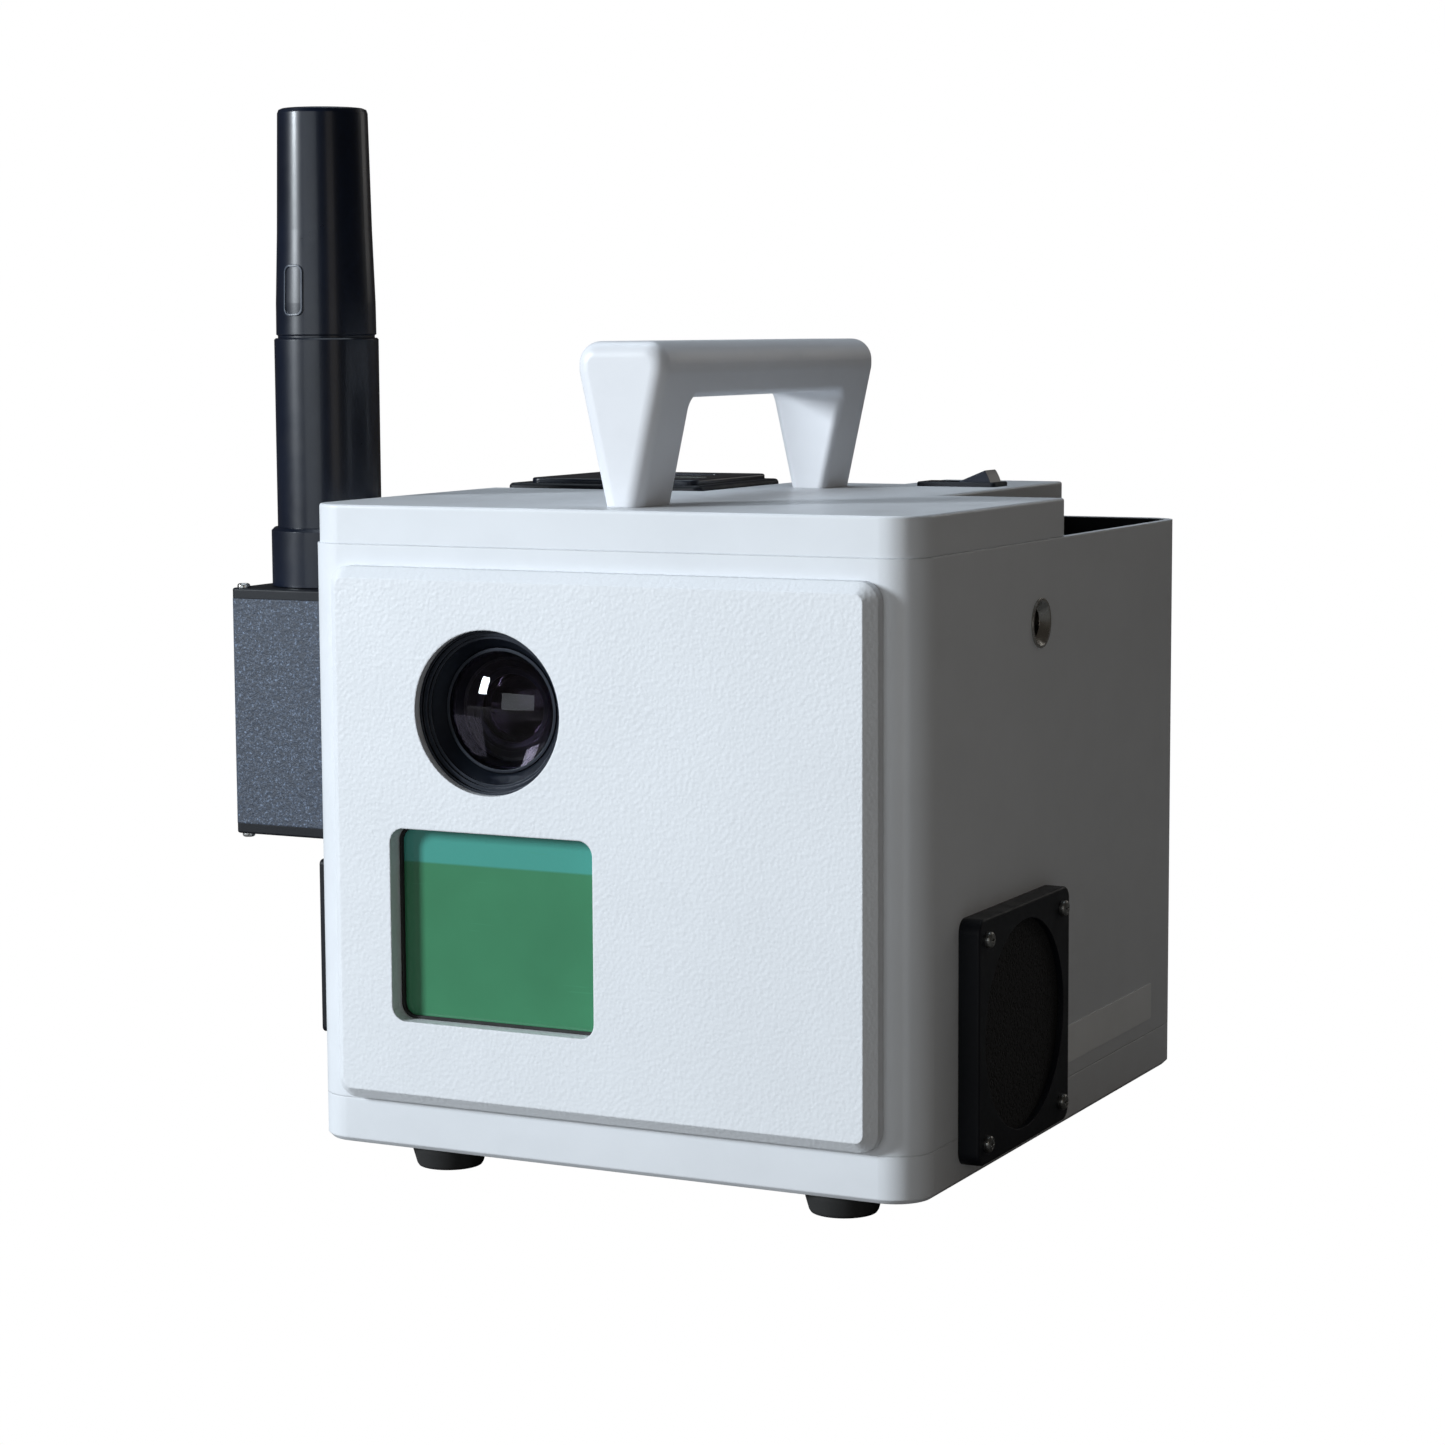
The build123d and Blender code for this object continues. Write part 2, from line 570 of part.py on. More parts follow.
battery_w = battery_x1 - battery_x0
battery_l = battery_y1 - battery_y0
battery_cx = (battery_x0 + battery_x1) / 2
battery_cy = (battery_y0 + battery_y1) / 2
battery_floor_z = bay_floor_z + tub_wall + 0.3
with BuildPart() as battery_case:
    slab(facing_up(battery_cx, battery_cy, battery_floor_z), battery_w, battery_l, battery_r,
         battery_top_z - battery_floor_z)
    fillet(battery_case.edges().group_by(Axis.Z)[-1], 1.6)
    chamfer(battery_case.edges().group_by(Axis.Z)[0], 1.5)
    for ring_z in (battery_top_z - 14.0, battery_top_z - 22.0):
        slab(facing_up(battery_cx, battery_cy, ring_z), battery_w, battery_l, battery_r, 1.2, Mode.SUBTRACT)
        slab(facing_up(battery_cx, battery_cy, ring_z), battery_w - 2.4, battery_l - 2.4, battery_r - 1.0, 1.2)
save(battery_case, "battery_case")

battery_cap_t = 2.0
gauge_x, gauge_y = -52.0, 30.0
gauge_w, gauge_l = 22.0, 9.0
with BuildPart() as battery_cap:
    slab(facing_up(battery_cx + 2.0, battery_cy, battery_top_z), battery_w - 12.0, battery_l - 6.0, 5.0,
         battery_cap_t)
    fillet(battery_cap.edges().group_by(Axis.Z)[-1], 0.8)
    slab(facing_up(gauge_x, gauge_y, battery_top_z + 1.2), gauge_w + 0.4, gauge_l + 0.4, 1.5, 2.0,
         Mode.SUBTRACT)
    slab(facing_up(battery_cx + 2.0, battery_cy + 14.0, battery_top_z + 1.2), 44.0, 16.0, 5.0, 2.0,
         Mode.SUBTRACT)
save(battery_cap, "battery_cap")

with BuildPart() as battery_gauge:
    slab(facing_up(gauge_x, gauge_y, battery_top_z + 1.2), gauge_w, gauge_l, 1.4, 1.0)
    with BuildSketch(facing_up(gauge_x, gauge_y, battery_top_z + 2.2)):
        with GridLocations(5.0, 0, 4, 1):
            Rectangle(3.2, 4.0)
    extrude(amount=-0.4, mode=Mode.SUBTRACT)
save(battery_gauge, "battery_gauge")

# ---------------------------------------------------------------- power switch
pivot_z = top_z - 2.4
rocker_end_r = 14.9
with BuildPart() as switch_body:
    slab(facing_up(switch_x, switch_y, top_z), bezel_l, bezel_w, 1.6, bezel_t)
    chamfer(switch_body.edges().group_by(Axis.Z)[-1], 0.5)
    slab(facing_up(switch_x, switch_y, top_z - 20.0), 30.4, 12.4, 0.8, 20.0)
    slab(facing_up(switch_x, switch_y, pivot_z - 11.4), 2 * rocker_end_r + 0.4, rocker_w + 0.4, 0.4, 40.0,
         Mode.SUBTRACT)
    with BuildSketch(facing_front(switch_x, switch_y + rocker_w / 2 + 0.2, pivot_z)):
        Circle(1.5)
    extrude(amount=rocker_w + 0.4)
save(switch_body, "switch_body")

rocker_top = top_z + bezel_t - pivot_z
with BuildPart() as power_rocker:
    rocker_dir = (math.cos(math.radians(rocker_tilt)), 0, math.sin(math.radians(rocker_tilt)))
    rocker_plane = Plane(origin=(switch_x, switch_y + rocker_w / 2, pivot_z), x_dir=rocker_dir,
                         z_dir=(0, -1, 0))
    end_x = rocker_l / 2
    end_h = rocker_top - 0.2 + end_x * math.tan(math.radians(rocker_tilt))
    with BuildSketch(rocker_plane):
        with BuildLine():
            Polyline((-end_x, -5.0), (end_x, -5.0), (end_x, end_h), (0, rocker_top - 0.4),
                     (-end_x, end_h), close=True)
        make_face()
        Circle(rocker_end_r - 0.25, mode=Mode.INTERSECT)
        Circle(1.5 + running_gap, mode=Mode.SUBTRACT)
    extrude(amount=rocker_w)
    chamfer(power_rocker.faces().sort_by(Axis.Y)[0].edges().filter_by_position(Axis.Z, top_z + 2.2, 400), 0.4)
    chamfer(power_rocker.faces().sort_by(Axis.Y)[-1].edges().filter_by_position(Axis.Z, top_z + 2.2, 400), 0.4)
save(power_rocker, "power_rocker")

# ---------------------------------------------------------------- fan on the right side
grille_t = 1.6
filter_r = 39.4
filter_t = 3.6
with BuildPart() as fan_cover:
    slab(facing_right(half_w, fan_y, fan_z), fan_cover_w, fan_cover_w, 5.0, fan_cover_t)
    fillet(fan_cover.edges().group_by(Axis.X)[-1], 0.9)
    discs(facing_right(half_w + grille_t, fan_y, fan_z), [(0, 0)], filter_r + 0.4, filter_t + 0.4, Mode.SUBTRACT)
    discs(facing_right(half_w, fan_y, fan_z), [(0, 0)], fan_open_r, fan_cover_t, Mode.SUBTRACT)
    with BuildSketch(facing_right(half_w, fan_y, fan_z)):
        for ring_r in (30.5, 22.5, 14.5):
            Circle(ring_r)
            Circle(ring_r - 1.4, mode=Mode.SUBTRACT)
        Circle(7.0)
        with PolarLocations(22.5, 8):
            Rectangle(32.0, 1.6)
    extrude(amount=grille_t)
    discs(facing_right(half_w, fan_y, fan_z), fan_screw_places, screw_m3_hole_r, fan_cover_t, Mode.SUBTRACT)
save(fan_cover, "fan_cover")

with BuildPart() as filter_pad:
    discs(facing_right(half_w + grille_t + 0.2, fan_y, fan_z), [(0, 0)], filter_r, filter_t)
save(filter_pad, "filter_pad")

fan_in_x = inner_x - fan_t
with BuildPart() as fan_frame:
    slab(facing_right(fan_in_x, fan_y, fan_z), fan_size, fan_size, 4.0, fan_t)
    discs(facing_right(fan_in_x, fan_y, fan_z), [(0, 0)], fan_bore_r, fan_t, Mode.SUBTRACT)
    discs(facing_right(fan_in_x, fan_y, fan_z), fan_screw_places, screw_m3_r, fan_t, Mode.SUBTRACT)
    discs(facing_right(fan_in_x, fan_y, fan_z), [(0, 0)], 17.0, 4.0)
    with BuildSketch(facing_right(fan_in_x, fan_y, fan_z)):
        with PolarLocations(27.5, 4, 20):
            Rectangle(24.0, 4.0)
    extrude(amount=3.0)
    discs(facing_right(fan_in_x + 4.0, fan_y, fan_z), [(0, 0)], fan_shaft_r, 16.0)
save(fan_frame, "fan_frame")

blade_count = 7
blade_pitch = math.radians(38.0)
blade_tip_r = 35.5
hub_r = 17.5
with BuildPart() as fan_impeller:
    discs(facing_right(fan_in_x + 5.0, fan_y, fan_z), [(0, 0)], hub_r, 17.5)
    fillet(fan_impeller.edges().group_by(Axis.X)[-1], 2.0)
    for blade in range(blade_count):
        blade_angle = math.radians(blade * 360.0 / blade_count)
        outward = (0, -math.sin(blade_angle), math.cos(blade_angle))
        around = (0, math.cos(blade_angle), math.sin(blade_angle))
        blade_dir = (math.cos(blade_pitch), math.sin(blade_pitch) * around[1], math.sin(blade_pitch) * around[2])
        blade_plane = Plane(origin=(fan_in_x + 13.5, fan_y, fan_z), x_dir=blade_dir, z_dir=outward)
        with BuildSketch(blade_plane.offset(hub_r - 1.5)):
            SlotOverall(19.0, 2.0)
        extrude(amount=blade_tip_r - hub_r + 1.5)
    discs(facing_right(fan_in_x + 4.0, fan_y, fan_z), [(0, 0)], fan_shaft_r + running_gap, 16.6, Mode.SUBTRACT)
save(fan_impeller, "fan_impeller")

fan_screws = pan_screws(facing_right(half_w + fan_cover_t, fan_y, fan_z), fan_screw_places, screw_m3_r,
                        fan_cover_t + wall + 16.0, 2.9, 2.1)
save(fan_screws, "fan_screws")

# ---------------------------------------------------------------- left side: exhaust hood
hood_w, hood_h, hood_t = 66.0, 66.0, 19.3
with BuildPart() as exhaust_hood:
    slab(facing_left(-half_w, exhaust_y, exhaust_z), 84.0, hood_h, 3.0, 1.6)
    slab(facing_left(-half_w, exhaust_y, exhaust_z), hood_w, hood_h, 2.0, hood_t)
    fillet(exhaust_hood.edges().group_by(Axis.X)[0], 1.0)
    slab(facing_left(-half_w, exhaust_y, exhaust_z - 2.0), hood_w - 3.2, hood_h - 0.8, 3.0, hood_t - 1.6,
         Mode.SUBTRACT)
    slab(facing_left(-half_w, exhaust_y, exhaust_z - hood_h / 2), hood_w - 3.2, 6.0, 1.0, hood_t - 1.6,
         Mode.SUBTRACT)
    discs(facing_left(-half_w, exhaust_y, exhaust_z), hood_screw_places, screw_m3_hole_r, 1.6, Mode.SUBTRACT)
save(exhaust_hood, "exhaust_hood")

hood_screws = pan_screws(facing_left(-half_w - 1.6, exhaust_y, exhaust_z), hood_screw_places, screw_m3_r,
                         6.0, 2.8, 2.0)
save(hood_screws, "hood_screws")

# ---------------------------------------------------------------- right side: insert and plate
insert_depth = 14.0
insert_axis = Axis((0, insert_y, insert_z), (1, 0, 0))
with BuildPart() as side_insert:
    turned(facing_front(0, insert_y, insert_z),
           [(inner_x - 18.0, 0), (inner_x - 18.0, insert_r + 2.0), (inner_x, insert_r + 2.0),
            (inner_x, insert_r - 1.0), (half_w, insert_r - 1.0), (half_w, insert_r), (half_w + 0.7, insert_r),
            (half_w + 0.7, 8.0), (half_w - 2.4, 5.1), (half_w - 2.4 - insert_depth, 5.1),
            (half_w - 2.4 - insert_depth, 0)],
           insert_axis)
save(side_insert, "side_insert")

with BuildPart() as label_plate:
    slab(facing_right(half_w, 52.5, 29.5), 94.0, 14.0, 1.0, 0.4)
save(label_plate, "label_plate")

# ---------------------------------------------------------------- radio and antenna
radio_cy = (radio_front_y + radio_back_y) / 2
radio_l = radio_back_y - radio_front_y
radio_right_x = -half_w - radio_plate_t
radio_w = radio_right_x - radio_left_x
radio_cx = (radio_left_x + radio_right_x) / 2
radio_wall = 2.5
radio_screw_places = four(radio_w / 2 - 3.6, radio_l / 2 - 3.6)

with BuildPart() as radio_bracket:
    slab(facing_left(-half_w, antenna_y, 150.0), 46.0, 80.0, 3.0, radio_plate_t)
    discs(facing_left(-half_w, antenna_y, 150.0), [(0, 0)], 5.0, radio_plate_t, Mode.SUBTRACT)
    discs(facing_left(-half_w, antenna_y, 150.0), four(18.0, 32.0), screw_m3_r, radio_plate_t, Mode.SUBTRACT)
save(radio_bracket, "radio_bracket")

radio_case_z0 = radio_z0 + radio_cap_t
radio_case_z1 = radio_z1 - radio_cap_t
with BuildPart() as radio_case:
    slab(facing_up(radio_cx, radio_cy, radio_case_z0), radio_w, radio_l, 2.0, radio_case_z1 - radio_case_z0)
    slab(facing_up(radio_cx, radio_cy, radio_case_z0), radio_w - 2 * radio_wall, radio_l - 2 * radio_wall, 1.0,
         radio_case_z1 - radio_case_z0, Mode.SUBTRACT)
    discs(facing_up(radio_cx, radio_cy, radio_case_z0), radio_screw_places, 3.0, radio_case_z1 - radio_case_z0)
    discs(facing_up(radio_cx, radio_cy, radio_case_z0), radio_screw_places, 1.25,
          radio_case_z1 - radio_case_z0, Mode.SUBTRACT)
    discs(facing_left(radio_right_x, antenna_y, 150.0), [(0, 0)], 5.0, radio_wall, Mode.SUBTRACT)
save(radio_case, "radio_case")

connector_r = 8.0
with BuildPart() as radio_top_cap:
    slab(facing_up(radio_cx, radio_cy, radio_case_z1), radio_w, radio_l, 2.2, radio_cap_t)
    fillet(radio_top_cap.edges().group_by(Axis.Z)[-1], 0.8)
    discs(facing_up(radio_cx, radio_cy, radio_case_z1), radio_screw_places, 1.35, radio_cap_t, Mode.SUBTRACT)
    discs(facing_up(antenna_x, antenna_y, radio_case_z1), [(0, 0)], connector_r, radio_cap_t, Mode.SUBTRACT)
save(radio_top_cap, "radio_top_cap")

with BuildPart() as radio_bottom_cap:
    slab(facing_up(radio_cx, radio_cy, radio_z0), radio_w, radio_l, 2.2, radio_cap_t)
    fillet(radio_bottom_cap.edges().group_by(Axis.Z)[0], 0.8)
    discs(facing_up(radio_cx, radio_cy, radio_z0), radio_screw_places, 1.35, radio_cap_t, Mode.SUBTRACT)
save(radio_bottom_cap, "radio_bottom_cap")

with BuildPart() as radio_screws:
    add(pan_screws(facing_up(radio_cx, radio_cy, radio_z1), radio_screw_places, 1.25, 12.0, 2.4, 1.6).part)
    add(pan_screws(facing_down(radio_cx, radio_cy, radio_z0), radio_screw_places, 1.25, 12.0, 2.4, 1.6).part)
save(radio_screws, "radio_screws")

with BuildPart() as antenna_connector:
    discs(facing_up(antenna_x, antenna_y, radio_case_z1 - 8.0), [(0, 0)], connector_r, 8.0 + radio_cap_t)
    discs(facing_up(antenna_x, antenna_y, radio_z1), [(0, 0)], 6.0, 14.0)
    chamfer(antenna_connector.edges().group_by(Axis.Z)[-1], 0.6)
save(antenna_connector, "antenna_connector")

antenna_axis = Axis((antenna_x, antenna_y, 0), (0, 0, 1))
antenna_plane = Plane(origin=(antenna_x, antenna_y, 0), x_dir=(1, 0, 0), z_dir=(0, -1, 0))
collar_z0 = radio_z1 + 0.3
collar_z1 = collar_z0 + collar_h
with BuildPart() as antenna_collar:
    turned(antenna_plane,
           [(6.1, collar_z0), (collar_r, collar_z0), (collar_r, collar_z1 - 1.2), (collar_r - 1.2, collar_z1),
            (tube_r - 1.0, collar_z1), (tube_r - 1.0, collar_z1 - 6.0), (6.1, collar_z1 - 6.0)],
           antenna_axis)
save(antenna_collar, "antenna_collar")

with BuildPart() as antenna_tube:
    turned(antenna_plane,
           [(15.0, collar_z1), (tube_r, collar_z1), (tube_r, tube_top_z - 0.6), (tube_r - 0.6, tube_top_z),
            (15.0, tube_top_z)],
           antenna_axis)
save(antenna_tube, "antenna_tube")

sleeve_profile = [
    (18.2, tube_top_z),
    (18.2, tube_top_z + 0.9),
    (18.8, tube_top_z + 1.3),
    (18.7, tube_top_z + 13.0),
    (17.8, tube_top_z + 40.0),
    (16.9, antenna_top_z - 1.8),
    (16.4, antenna_top_z - 0.5),
    (15.2, antenna_top_z),
    (0, antenna_top_z),
    (0, antenna_top_z - 3.0),
    (14.0, antenna_top_z - 3.0),
    (15.2, tube_top_z),
]
with BuildPart() as antenna_sleeve:
    turned(antenna_plane, sleeve_profile, antenna_axis)
save(antenna_sleeve, "antenna_sleeve")

# ---------------------------------------------------------------- scan engine
bench_x0, bench_x1 = -104.0, 85.0
bench_y0, bench_y1 = -122.0, 0.0
bench_cx = (bench_x0 + bench_x1) / 2
bench_cy = (bench_y0 + bench_y1) / 2
bench_leg_places = four((bench_x1 - bench_x0) / 2 - 9.0, (bench_y1 - bench_y0) / 2 - 9.0)
bench_top = bench_z + bench_t

with BuildPart() as optical_bench:
    slab(facing_up(bench_cx, bench_cy, bench_z), bench_x1 - bench_x0, bench_y1 - bench_y0, 6.0, bench_t)
    with BuildSketch(facing_up(bench_cx, bench_cy, bench_z)):
        with GridLocations(38.0, 0, 4, 1):
            SlotOverall(60.0, 14.0, rotation=90)
    extrude(amount=bench_t - 2.5, mode=Mode.SUBTRACT)
    discs(facing_up(bench_cx, bench_cy, wall), bench_leg_places, 5.0, bench_z - wall)
save(optical_bench, "optical_bench")

spin_shaft_r = 4.0
polygon_z0, polygon_z1 = 61.0, 106.0
motor_top_z = 56.0
with BuildPart() as mirror_motor:
    slab(facing_up(spin_x, engine_y, bench_top), 46.0, 46.0, 4.0, 3.0)
    discs(facing_up(spin_x, engine_y, bench_top + 3.0), [(0, 0)], 19.0, motor_top_z - bench_top - 3.0)
    chamfer(mirror_motor.edges().group_by(Axis.Z)[-1], 1.0)
    discs(facing_up(spin_x, engine_y, bench_top + 2.0), [(0, 0)], spin_shaft_r + running_gap, 40.0,
          Mode.SUBTRACT)
save(mirror_motor, "mirror_motor")

with BuildPart() as polygon_mirror:
    slab(facing_up(spin_x, engine_y, polygon_z0), 43.0, 43.0, 0.6, polygon_z1 - polygon_z0)
    discs(facing_up(spin_x, engine_y, polygon_z0 - 3.0), [(0, 0)], 14.0, 3.0)
    discs(facing_up(spin_x, engine_y, polygon_z1), [(0, 0)], 12.0, 2.0)
    discs(facing_up(spin_x, engine_y, bench_top + 5.0), [(0, 0)], spin_shaft_r, polygon_z0 - bench_top - 5.0)
save(polygon_mirror, "polygon_mirror")

# the tilting mirror turns the laser's beam from -Y to -X; its hinge lies in its own plane
tilt_dir = (math.sqrt(0.5), math.sqrt(0.5), 0)
tilt_normal = (-math.sqrt(0.5), math.sqrt(0.5), 0)
tilt_shaft_r = 2.5
tilt_end_plane = Plane(origin=(tilt_x, engine_y, engine_z), x_dir=(0, 0, 1), z_dir=tilt_dir)
tilt_face_plane = Plane(origin=(tilt_x, engine_y, engine_z), x_dir=tilt_dir, z_dir=tilt_normal)
mirror_half = 17.0
with BuildPart() as tilt_mirror:
    slab(tilt_face_plane.offset(-4.0), 2 * mirror_half, 30.0, 2.0, 4.0)
    discs(tilt_end_plane.offset(mirror_half - 1.0), [(0, 0)], tilt_shaft_r, 21.0)
    with BuildSketch(tilt_end_plane.offset(-mirror_half)):
        Circle(tilt_shaft_r)
    extrude(amount=-5.0)
save(tilt_mirror, "tilt_mirror")

with BuildPart() as tilt_motor:
    discs(tilt_end_plane.offset(mirror_half + 3.0), [(0, 0)], 12.0, 28.0)
    chamfer(tilt_motor.edges().filter_by(GeomType.CIRCLE), 0.8)
    slab(facing_up(tilt_x + 22.5, engine_y + 22.5, bench_top), 22.0, 22.0, 2.0, engine_z - bench_top - 6.0)
    discs(tilt_end_plane.offset(mirror_half + 2.0), [(0, 0)], tilt_shaft_r + running_gap, 20.0, Mode.SUBTRACT)
save(tilt_motor, "tilt_motor")

with BuildPart() as laser_emitter:
    slab(facing_front(tilt_x, 2.0, engine_z), 26.0, 30.0, 3.0, 30.0)
    discs(facing_front(tilt_x, -28.0, engine_z), [(0, 0)], 9.0, 8.0)
    discs(facing_front(tilt_x, -30.0, engine_z), [(0, 0)], 5.0, 6.0, Mode.SUBTRACT)
    slab(facing_up(tilt_x, -13.0, bench_top), 22.0, 24.0, 2.0, engine_z - 15.0 - bench_top)
save(laser_emitter, "laser_emitter")

with BuildPart() as receiver_tube:
    discs(facing_front(spin_x, -4.0, engine_z), [(0, 0)], 18.0, 36.0)
    discs(facing_front(spin_x, -8.0, engine_z), [(0, 0)], 15.5, 40.0, Mode.SUBTRACT)
    slab(facing_up(spin_x, -20.0, bench_top), 24.0, 24.0, 2.0, engine_z - 17.0 - bench_top)
save(receiver_tube, "receiver_tube")

receiver_plane = facing_up(spin_x, 0, engine_z)
receiver_axis = Axis((spin_x, 0, engine_z), (0, 1, 0))
with BuildPart() as receiver_lens:
    with BuildSketch(receiver_plane):
        with BuildLine():
            ThreePointArc((0, -41.0), (7.7, -40.3), (15.4, -38.0))
            Polyline((15.4, -38.0), (15.4, -35.0), (0, -35.0), (0, -41.0))
        make_face()
    revolve(axis=receiver_axis)
save(receiver_lens, "receiver_lens")

# ---------------------------------------------------------------- electronics
board_x = -110.0
board_t = 1.6
board_cy, board_cz = -65.0, 120.0
board_w, board_h = 104.0, 150.0
chip_list = [(-30.0, 40.0, 26.0, 26.0, 3.0), (12.0, 42.0, 18.0, 18.0, 2.0), (-26.0, -8.0, 34.0, 20.0, 8.0),
             (20.0, -6.0, 14.0, 22.0, 6.0), (-4.0, -48.0, 60.0, 12.0, 9.0)]
with BuildPart() as main_board:
    slab(facing_right(board_x, board_cy, board_cz), board_w, board_h, 3.0, board_t)
    for chip_y, chip_z, chip_w, chip_h, chip_t in chip_list:
        slab(facing_right(board_x + board_t, board_cy + chip_y, board_cz + chip_z), chip_w, chip_h, 0.5, chip_t)
save(main_board, "main_board")

power_z = 12.0
power_cy = 84.0
with BuildPart() as power_board:
    slab(facing_up(0, power_cy, power_z), 130.0, 62.0, 3.0, board_t)
    with BuildSketch(facing_up(0, power_cy, power_z + board_t)):
        with GridLocations(38.0, 0, 3, 1):
            RectangleRounded(30.0, 40.0, 1.5)
    extrude(amount=14.0)
save(power_board, "power_board")

with BuildPart() as board_standoffs:
    discs(facing_left(board_x, board_cy, board_cz), four(board_w / 2 - 5.0, board_h / 2 - 5.0), 3.0,
          inner_x + board_x)
    discs(facing_up(0, power_cy, wall), four(60.0, 26.0), 3.0, power_z - wall)
save(board_standoffs, "board_standoffs")
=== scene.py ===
import json
import math

import bmesh
import bpy
from mathutils import Matrix, Vector


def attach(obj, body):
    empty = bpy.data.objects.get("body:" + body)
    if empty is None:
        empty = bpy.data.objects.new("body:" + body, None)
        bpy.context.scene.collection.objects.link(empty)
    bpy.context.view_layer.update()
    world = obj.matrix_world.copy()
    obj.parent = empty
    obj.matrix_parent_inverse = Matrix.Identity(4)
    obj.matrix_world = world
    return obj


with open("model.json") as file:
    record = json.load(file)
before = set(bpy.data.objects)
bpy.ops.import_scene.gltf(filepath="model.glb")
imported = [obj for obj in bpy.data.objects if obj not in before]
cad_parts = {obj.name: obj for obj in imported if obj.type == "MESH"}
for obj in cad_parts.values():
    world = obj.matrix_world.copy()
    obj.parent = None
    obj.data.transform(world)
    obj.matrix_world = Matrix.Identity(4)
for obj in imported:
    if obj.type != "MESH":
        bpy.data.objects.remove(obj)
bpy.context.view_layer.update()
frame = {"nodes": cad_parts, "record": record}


MM = 0.001
SMOOTH_BELOW = math.radians(32)
FLOOR_Z = -0.008                      # the undersides of the feet
FLOOR_REACH = 3.0
LENS_X, LENS_Z = -40.1, 161.2         # the camera lens's axis, mm
ANTENNA_X, ANTENNA_Y = -148.3, -72.0  # the antenna's axis, mm
FRAME_Z = 309.5                       # middle of the raised frame on the sleeve, mm
BAND_Z = 0.1055                       # lower edge of the window's teal band, in metres
BAND_BLUR = 0.0004                    # half the width over which the two colours meet
EDGE_FLAT, EDGE_FULL = 0.995, 0.90    # cosines between which edge wear sets in


# ---------------------------------------------------------------- material building blocks
class Shader:
    """A node tree with short calls for the nodes used here."""

    def __init__(self, name):
        self.material = bpy.data.materials.new(name)
        self.material.use_nodes = True
        self.tree = self.material.node_tree
        self.tree.nodes.clear()
        self.output = self.tree.nodes.new("ShaderNodeOutputMaterial")
        self.place = self.tree.nodes.new("ShaderNodeTexCoord").outputs["Object"]

    def node(self, kind, **values):
        made = self.tree.nodes.new(kind)
        for key, value in values.items():
            setattr(made, key, value)
        return made

    def join(self, source, target):
        self.tree.links.new(source, target)

    def noise(self, size_mm, detail=3.0, roughness=0.55, distortion=0.0, where=None):
        made = self.node("ShaderNodeTexNoise")
        made.inputs["Scale"].default_value = 1.0 / (size_mm * MM)
        made.inputs["Detail"].default_value = detail
        made.inputs["Roughness"].default_value = roughness
        made.inputs["Distortion"].default_value = distortion
        self.join(where or self.place, made.inputs["Vector"])
        return made.outputs["Fac"]

    def cells(self, size_mm, feature="F1"):
        made = self.node("ShaderNodeTexVoronoi", feature=feature)
        made.inputs["Scale"].default_value = 1.0 / (size_mm * MM)
        self.join(self.place, made.inputs["Vector"])
        return made.outputs["Distance"]

    def stretched(self, x, y, z):
        made = self.node("ShaderNodeMapping")
        made.inputs["Scale"].default_value = (x, y, z)
        self.join(self.place, made.inputs["Vector"])
        return made.outputs["Vector"]

    def span(self, source, low, high, out_low=0.0, out_high=1.0):
        made = self.node("ShaderNodeMapRange")
        made.inputs["From Min"].default_value = low
        made.inputs["From Max"].default_value = high
        made.inputs["To Min"].default_value = out_low
        made.inputs["To Max"].default_value = out_high
        self.join(source, made.inputs["Value"])
        return made.outputs["Result"]

    def math(self, operation, a, b):
        made = self.node("ShaderNodeMath", operation=operation)
        for index, value in enumerate((a, b)):
            if isinstance(value, (int, float)):
                made.inputs[index].default_value = value
            else:
                self.join(value, made.inputs[index])
        return made.outputs[0]

    def mix(self, fac, first, second):
        """Two colours, each a tuple or a socket. A colour Mix node has them at inputs 6 and 7."""
        made = self.node("ShaderNodeMix", data_type="RGBA")
        self.join(fac, made.inputs[0])
        for index, value in ((6, first), (7, second)):
            if isinstance(value, tuple):
                made.inputs[index].default_value = (*value, 1.0)
            else:
                self.join(value, made.inputs[index])
        return made.outputs[2]

    def bump(self, height, depth_mm, normal=None):
        made = self.node("ShaderNodeBump")
        made.inputs["Distance"].default_value = depth_mm * MM
        self.join(height, made.inputs["Height"])
        if normal:
            self.join(normal, made.inputs["Normal"])
        return made.outputs["Normal"]

    def rounding(self, radius_mm):
        made = self.node("ShaderNodeBevel", samples=4)
        made.inputs["Radius"].default_value = radius_mm * MM
        return made.outputs["Normal"]

    def edges(self, rounded):
        """1 on edges, 0 on flat places."""
        flat = self.node("ShaderNodeNewGeometry").outputs["Normal"]
        dot = self.node("ShaderNodeVectorMath", operation="DOT_PRODUCT")
        self.join(flat, dot.inputs[0])
        self.join(rounded, dot.inputs[1])
        return self.span(dot.outputs["Value"], EDGE_FLAT, EDGE_FULL)

    def upward(self):
        """1 on faces that look up, 0 on walls."""
        split = self.node("ShaderNodeSeparateXYZ")
        self.join(self.node("ShaderNodeNewGeometry").outputs["Normal"], split.inputs[0])
        return self.span(split.outputs["Z"], 0.6, 1.0)

    def finish(self, colour, roughness, normal=None, **constants):
        """The shader itself. Constants are set on its own sockets."""
        made = self.node("ShaderNodeBsdfPrincipled")
        self.join(colour, made.inputs["Base Color"])
        if isinstance(roughness, float):
            made.inputs["Roughness"].default_value = roughness
        else:
            self.join(roughness, made.inputs["Roughness"])
        if normal:
            self.join(normal, made.inputs["Normal"])
        for key, value in constants.items():
            made.inputs[key.replace("_", " ")].default_value = value
        self.join(made.outputs["BSDF"], self.output.inputs["Surface"])
        return self.material


